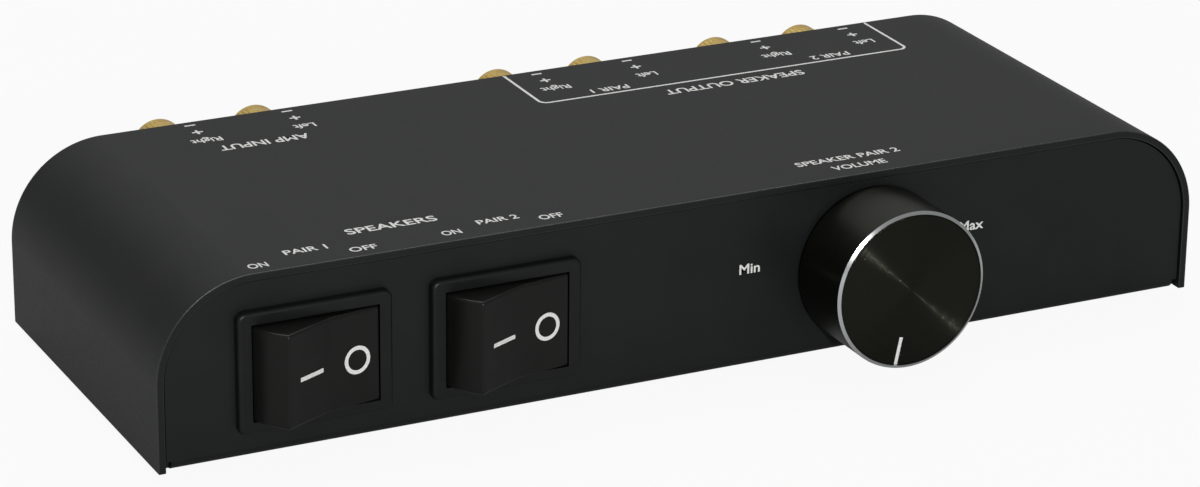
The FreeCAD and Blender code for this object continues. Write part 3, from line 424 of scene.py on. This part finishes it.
def makeCap(name, node):
    low, high = cornersOf(node)
    axis = Vector(((low.x + high.x) / 2, 0, (low.z + high.z) / 2))
    points = cap["pointsPerTooth"]
    bm = bmesh.new()
    loop = bmesh.ops.create_circle(
        bm, cap_ends=False, radius=1.0, segments=points * cap["teeth"],
    )["verts"]
    bmesh.ops.rotate(bm, cent=(0, 0, 0), matrix=Matrix.Rotation(math.pi / 2, 3, "X"), verts=loop)
    directions = [v.co.copy() for v in loop]
    firstEdges = loopEdges = bm.edges[:]
    for station, (y, radius, knurled) in enumerate(capStations(low.y, high.y)):
        if station > 0:
            grown = bmesh.ops.extrude_edge_only(bm, edges=loopEdges)["geom"]
            loopEdges = [
                g for g in grown if isinstance(g, bmesh.types.BMEdge) and len(g.link_faces) == 1
            ]
            order = {v: i for i, v in enumerate(loop)}
            # each new point takes the number of the old one that it grew from
            matched = [None] * len(loop)
            for v in (g for g in grown if isinstance(g, bmesh.types.BMVert)):
                partner = next(o for o in (e.other_vert(v) for e in v.link_edges) if o in order)
                matched[order[partner]] = v
            loop = matched
        for i, v in enumerate(loop):
            inGroove = knurled and i % points >= points / 2
            hollow = cap["toothDepth"] if inGroove else 0.0
            v.co = axis + directions[i] * (radius - hollow) + yAxis * y
    bmesh.ops.bridge_loops(bm, edges=firstEdges + loopEdges)
    bmesh.ops.recalc_face_normals(bm, faces=bm.faces)
    piece = finishPiece(bm, name, node, [goldPlate], cap["sharpDeg"])
    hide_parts(node)


for capNode in sorted(n for n in nodes if n.startswith("cap_")):
    # each cap's body has the name of its node
    makeCap("knurledCap" + "".join(w.capitalize() for w in capNode.split("_")[1:]), capNode)
print("caps made")

# Lettering: function words and signs only, in a plain typeface

labels = {
    # each word's left end, right end, middle and height
    "fromFront": (
        ("SPEAKERS", -69.2, -50.7, -29.9, 2.7),
        ("PAIR 1", -83.8, -75.2, -35.0, 2.2),
        ("ON", -92.4, -88.5, -38.8, 2.2),
        ("OFF", -72.1, -66.6, -38.7, 2.2),
        ("PAIR 2", -44.7, -36.2, -35.5, 2.1),
        ("ON", -53.1, -49.2, -38.1, 2.2),
        ("OFF", -32.9, -28.0, -38.1, 2.2),
        ("SPEAKER PAIR 2", 25.2, 48.2, -32.9, 2.2),
        ("VOLUME", 30.8, 42.7, -37.6, 2.2),
    ),
    "fromRear": (
        ("AMP INPUT", -74.0, -55.0, 22.6, 2.7),
        ("SPEAKER OUTPUT", 21.4, 53.4, 16.2, 2.7),
        ("PAIR 1", 7.8, 16.3, 23.2, 2.2),
        ("PAIR 2", 59.2, 68.1, 23.2, 2.2),
    ),
    "onPanel": (("Min", 8.5, 13.0, 22.72, 2.0), ("Max", 57.8, 63.4, 23.78, 2.0)),
    "lift": 0.02, "bolder": 0.018, "curveSteps": 6,
}
# the posts' columns have one word and two signs each: the word, its width, middle and height
postLabels = {
    "columns": (-74.6, -53.65, 2.15, 23.05, 53.6, 74.7),
    "channels": (("Right", 6.4, 28.2, 2.25), ("Left", 4.5, 28.2, 2.25)),
    "signs": (("+", 2.3, 33.45, 2.3), ("−", 2.3, 37.75, 0.6)),
}


def letterMesh(words):
    curve = bpy.data.curves.new("letters", "FONT")
    curve.body = words
    curve.resolution_u = labels["curveSteps"]
    curve.offset = labels["bolder"]
    holder = bpy.data.objects.new("letters", curve)
    bpy.context.scene.collection.objects.link(holder)
    bpy.context.view_layer.update()
    mesh = bpy.data.meshes.new_from_object(holder)
    bpy.data.objects.remove(holder)
    return mesh


def addLetters(bm, words, left, right, middle, height, place):
    # place moves flat letters, X across and Y up, to their spot on a surface; a word is measured
    # from its base line, and a sign from its own lowest point
    mesh = letterMesh(words)
    part = bmesh.new()
    part.from_mesh(mesh)
    xs = [v.co.x for v in part.verts]
    ys = [v.co.y for v in part.verts]
    lowest, highest = min(ys) if words in "+−" else 0.0, max(ys)
    middleOfWord = Vector(((max(xs) + min(xs)) / 2, (highest + lowest) / 2, 0))
    across = (right - left) / (max(xs) - min(xs))
    bmesh.ops.translate(part, vec=-middleOfWord, verts=part.verts)
    bmesh.ops.scale(part, vec=(across, height / (highest - lowest), 1), verts=part.verts)
    bmesh.ops.transform(part, matrix=place((left + right) / 2, middle), verts=part.verts)
    part.to_mesh(mesh)
    part.free()
    bm.from_mesh(mesh)


def inkHeight():
    return cornersOf("top_cover")[1].z - cover["below"] + labels["lift"]


def makeLettering():
    top = inkHeight()
    panel = cornersOf("chassis")[0].y - labels["lift"]

    def readFromFront(x, y):
        return Matrix.Translation((x, y, top))

    def readFromRear(x, y):
        return readFromFront(x, y) @ Matrix.Rotation(math.pi, 4, "Z")

    def onPanel(x, z):
        return Matrix.Translation((x, panel, z)) @ Matrix.Rotation(math.pi / 2, 4, "X")

    bm = bmesh.new()
    for group, place in (("fromFront", readFromFront), ("fromRear", readFromRear)):
        for words, left, right, middle, height in labels[group]:
            addLetters(bm, words, left, right, middle, height, place)
    for i, column in enumerate(postLabels["columns"]):
        channel = postLabels["channels"][i % 2]
        for words, width, middle, height in (channel, *postLabels["signs"]):
            left, right = column - width / 2, column + width / 2
            addLetters(bm, words, left, right, middle, height, readFromRear)
    for words, left, right, middle, height in labels["onPanel"]:
        addLetters(bm, words, left, right, middle, height, onPanel)
    finishPiece(bm, "caseLettering", "case", [ink])


makeLettering()
print("lettering made")

# Outline printed round the outputs: a line with two round corners, open at the rear edge

outline = {
    "left": -4.9, "right": 81.2, "front": 20.35, "rear": 39.7, "corner": 2.0, "cornerSteps": 8,
    "width": 0.6,
}


def makeOutline():
    o = outline
    corners = (
        (o["left"], o["rear"]), (o["left"], o["front"]), (o["right"], o["front"]), (o["right"], o["rear"]),
    )
    top = inkHeight()
    bm = bmesh.new()
    ends = [bm.verts.new((x, y, top)) for x, y in corners]
    bm.faces.new(ends)
    bmesh.ops.bevel(
        bm, geom=ends[1:3], offset=o["corner"], offset_type="OFFSET", segments=o["cornerSteps"],
        profile=0.5, affect="VERTICES", material=-1,
    )
    bmesh.ops.inset_region(
        bm, faces=bm.faces[:], thickness=o["width"], use_even_offset=True, use_boundary=True,
    )
    middle = max(bm.faces, key=lambda f: f.calc_area())
    bmesh.ops.delete(bm, geom=[middle], context="FACES_ONLY")
    rearStrip = max(bm.faces, key=lambda f: f.calc_center_median().y)
    bmesh.ops.delete(bm, geom=[rearStrip], context="FACES")
    finishPiece(bm, "outputOutline", "case", [ink])


makeOutline()
print("outline made")

# Signs on the rockers, printed on their two facets

rockerSigns = {
    "restDeg": 18.0, "valley": -5.65, "facetDeg": 7.95, "raise": -0.25, "lift": 0.03,
    "barLength": 6.3, "barWidth": 0.85, "barFrom": 4.9, "barCorner": 0.12,
    "ringFrom": 6.1, "ringOuter": 2.82, "ringStroke": 0.78, "ringSteps": 64,
}


def onFacet(pivot, way, reach):
    # from flat on the floor to the facet on one side of the valley: way is -1 or 1
    s = rockerSigns
    atRest = Matrix.Rotation(math.radians(s["restDeg"]), 4, "Z")
    sloped = Matrix.Rotation(math.radians(-way * s["facetDeg"]), 4, "Z")
    return (
        Matrix.Translation(pivot) @ atRest @ Matrix.Translation((0, s["valley"], 0)) @ sloped
        @ Matrix.Translation((way * reach, -s["lift"], s["raise"])) @ Matrix.Rotation(math.pi / 2, 4, "X")
    )


def makeRockerSigns(number):
    s = rockerSigns
    pivot = pivotOf("rocker_" + number + "_tilt")
    bm = bmesh.new()
    bmesh.ops.create_grid(bm, x_segments=1, y_segments=1, size=0.5)
    bmesh.ops.scale(bm, vec=(s["barLength"], s["barWidth"], 1), verts=bm.verts)
    bmesh.ops.bevel(
        bm, geom=bm.verts[:], offset=s["barCorner"], offset_type="OFFSET", segments=3, profile=0.5,
        affect="VERTICES", material=-1,
    )
    bar = bm.verts[:]
    ring = []
    for radius in (s["ringOuter"], s["ringOuter"] - s["ringStroke"]):
        circle = bmesh.ops.create_circle(bm, cap_ends=False, radius=radius, segments=s["ringSteps"])
        ring += circle["verts"]
    bmesh.ops.bridge_loops(bm, edges=[e for e in bm.edges if e.verts[0] in ring])
    bmesh.ops.transform(bm, matrix=onFacet(pivot, -1, s["barFrom"]), verts=bar)
    bmesh.ops.transform(bm, matrix=onFacet(pivot, 1, s["ringFrom"]), verts=ring)
    finishPiece(bm, "rockerSigns" + number, "rocker_" + number, [ink])


for rockerNumber in ("1", "2"):
    makeRockerSigns(rockerNumber)
print("signs made")

# Rubber feet

foot = {"radius": 5.0, "chamfer": 0.5, "edgeRound": 0.25, "steps": 48}

# moulded black rubber: matt, with a dusty bloom

rubber = makeFinish("mouldedRubber", "#161616", "#232322", 0.82, 0.08, 1.2, 0.3, 0.02, IOR=1.52)


def makeFeet():
    low, high = cornersOf("rubber_feet")
    bm = bmesh.new()
    r, c = foot["radius"], foot["chamfer"]
    profile = ((0, low.z), (r - c, low.z), (r, low.z + c), (r, high.z), (0, high.z))
    for x in (low.x + r, high.x - r):
        for y in (low.y + r, high.y - r):
            turn(bm, profile, Vector((x, y, 0)), zAxis, foot["steps"])
    roundEdges(bm, foot["edgeRound"], 3, least=30, most=70)
    bmesh.ops.recalc_face_normals(bm, faces=bm.faces)
    piece = finishPiece(bm, "rubberFeet", "case", [rubber])
    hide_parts("rubber_feet")


makeFeet()
print("feet made")

# Materials of the CAD nodes that stay. Moulded plastics keep the fine texture of their mould.
# Plated and turned metals are bright, and differ a little from patch to patch.

finishes = {
    "panel_paint": coat,
    "cover_paint": coat,
    "gold_plate": goldThread,
    "foot_rubber": rubber,
    "knob_anodised": knobSideMetal,
    "switch_plastic": makeFinish(
        "mouldedSwitchHousing", "#0E100F", "#121413", 0.38, 0.05, 6.0, 0.3, 0.01,
        Specular_IOR_Level=0.25,
    ),
    "rocker_plastic": makeFinish(
        "mouldedRocker", "#0D0E0C", "#10110F", 0.34, 0.04, 6.0, 0.2, 0.003,
        Specular_IOR_Level=0.25,
    ),
    "zinc_steel": makeFinish(
        "brightZincOnSteel", "#9AA0A4", "#C6CBCE", 0.32, 0.08, 1.5, Metallic=1.0,
    ),
    "black_screw": makeFinish(
        "blackOxideSteel", "#1B1B1C", "#2A2A2B", 0.4, 0.08, 0.8, Metallic=1.0,
    ),
    "insert_plastic": makeFinish("naturalAcetal", "#CFCDC2", "#DAD8CE", 0.4),
    "turned_aluminium": makeFinish(
        "turnedAluminium", "#B4B7BA", "#CDD0D2", 0.28, 0.08, 0.4, Metallic=1.0,
    ),
    "nut_brass": makeFinish("brightBrass", "#B08D48", "#D0AF68", 0.28, 0.08, 0.6, Metallic=1.0),
    "contact_brass": makeFinish("tinnedBrass", "#A9A28A", "#C9C4AE", 0.34, 0.08, 0.6, Metallic=1.0),
    "phenolic_board": makeFinish("phenolicBoard", "#5A3419", "#77481F", 0.5, 0.05, 3.0, 0.8, 0.01),
    # varnished silicon-steel sheets 0.5 mm thick, stacked
    "core_steel": makeFinish(
        "varnishedLaminations", "#2C2B2A", "#5A5652", 0.42, 0.07, grain=2.0, relief=0.05,
        bands=("Z", 0.5), Metallic=0.6,
    ),
    "bobbin_plastic": makeFinish("mouldedNylon", "#D4CFBE", "#DEDACB", 0.45),
    # enamelled copper wire 0.25 mm thick laid side by side, drawn 0.5 mm wide so that it shows
    "copper_wire": makeFinish(
        "enamelledCopperWire", "#6B3416", "#B5652F", 0.32, 0.07, grain=1.0, relief=0.12,
        bands=("Y", 0.5), Metallic=0.9, Coat_Weight=0.5,
    ),
    "collar_red": makeFinish("redMouldedCollar", "#A3130F", "#B5201A", 0.3, 0.04, 6.0, 0.2, 0.003),
    "collar_black": makeFinish("blackMouldedCollar", "#131313", "#1A1A1A", 0.3, 0.04, 6.0, 0.2, 0.003),
    "bush_plastic": makeFinish("blackInsulatingBush", "#161616", "#1E1E1E", 0.45),
}


def dressNodes():
    slotOf = {s["node"]: s["material_slot"] for s in frame["record"]["subparts"]}
    for name, node in nodes.items():
        finish = finishes[slotOf[name]]
        for materialSlot in node.material_slots:
            materialSlot.material = finish


dressNodes()
print("CAD pieces dressed")

# Floor, world and lamps

studio = {
    # metres; the floor lies a tenth of a millimetre low, clear of the feet's own faces
    "floorSize": 4.0, "floorDrop": 0.0001,
    "floorWhite": 0.5, "paperRough": 0.9, "worldLevel": 0.22, "whiteShare": 0.93, "mirroredShare": 0.1,
    "lamps": (
        # name, place, aimed at, width, height, watts
        ("overheadSoftbox", (0.05, 0.45, 1.15), (0, 0, 0.03), 1.3, 0.6, 8.0),
        ("rearSoftbox", (0.35, 1.7, 0.65), (0.05, 0, 0.03), 2.0, 1.1, 0.9),
        ("leftSoftbox", (-1.1, -0.5, 0.6), (0, 0, 0.02), 0.7, 0.7, 0.8),
        ("smallLamp", (-0.29, -1.2, 0.41), (0.037, -0.058, 0.02), 0.04, 0.04, 10.0),
    ),
}
pureWhite = (1, 1, 1, 1)


def mixToWhite(tree, plain, white):
    # what the camera sees directly is nearly plain white, and mirrored rays see it partly
    rays = addNode(tree, "ShaderNodeLightPath")
    mirrored = addNode(tree, "ShaderNodeMath", {
        0: rays.outputs["Is Glossy Ray"], 1: rays.outputs["Is Transmission Ray"],
    }, operation="MAXIMUM")
    partly = addNode(tree, "ShaderNodeMath", {
        0: mirrored.outputs["Value"], 1: studio["mirroredShare"],
    }, operation="MULTIPLY")
    seen = addNode(tree, "ShaderNodeMath", {
        0: rays.outputs["Is Camera Ray"], 1: studio["whiteShare"], 2: partly.outputs["Value"],
    }, operation="MULTIPLY_ADD")
    mixed = addNode(tree, "ShaderNodeMixShader", {0: seen.outputs["Value"], 1: plain, 2: white})
    return mixed.outputs["Shader"]


def makeFloor():
    bm = bmesh.new()
    bmesh.ops.create_grid(bm, x_segments=1, y_segments=1, size=studio["floorSize"] / 2)
    bmesh.ops.translate(bm, vec=(0, 0, -studio["floorDrop"]), verts=bm.verts)
    mesh = bpy.data.meshes.new("floor")
    bm.to_mesh(mesh)
    bm.free()
    floor = bpy.data.objects.new("floor", mesh)
    bpy.context.scene.collection.objects.link(floor)
    # white studio paper
    material = bpy.data.materials.new("whiteStudioPaper")
    material.use_nodes = True
    tree = material.node_tree
    paper = tree.nodes["Principled BSDF"]
    paper.inputs["Base Color"].default_value = (studio["floorWhite"],) * 3 + (1,)
    paper.inputs["Roughness"].default_value = studio["paperRough"]
    white = addNode(tree, "ShaderNodeEmission", {"Color": pureWhite, "Strength": 1.0})
    mixed = mixToWhite(tree, paper.outputs["BSDF"], white.outputs["Emission"])
    tree.links.new(mixed, tree.nodes["Material Output"].inputs["Surface"])
    mesh.materials.append(material)


def makeWorld():
    world = bpy.data.worlds.new("studio")
    world.use_nodes = True
    tree = world.node_tree
    tree.nodes.clear()
    plain = addNode(tree, "ShaderNodeBackground", {
        "Color": pureWhite, "Strength": studio["worldLevel"],
    })
    white = addNode(tree, "ShaderNodeBackground", {"Color": pureWhite, "Strength": 1.0})
    mixed = mixToWhite(tree, plain.outputs["Background"], white.outputs["Background"])
    addNode(tree, "ShaderNodeOutputWorld", {"Surface": mixed})
    bpy.context.scene.world = world


def makeLamps():
    for name, place, target, width, height, watts in studio["lamps"]:
        data = bpy.data.lights.new(name, "AREA")
        data.shape = "RECTANGLE"
        data.size = width
        data.size_y = height
        data.energy = watts
        lamp = bpy.data.objects.new(name, data)
        bpy.context.scene.collection.objects.link(lamp)
        aim = Vector(target) - Vector(place)
        lamp.matrix_world = Matrix.Translation(place) @ aim.to_track_quat("-Z", "Y").to_matrix().to_4x4()


makeFloor()
makeWorld()
makeLamps()
bpy.context.scene.view_settings.view_transform = "Standard"
print("studio made")
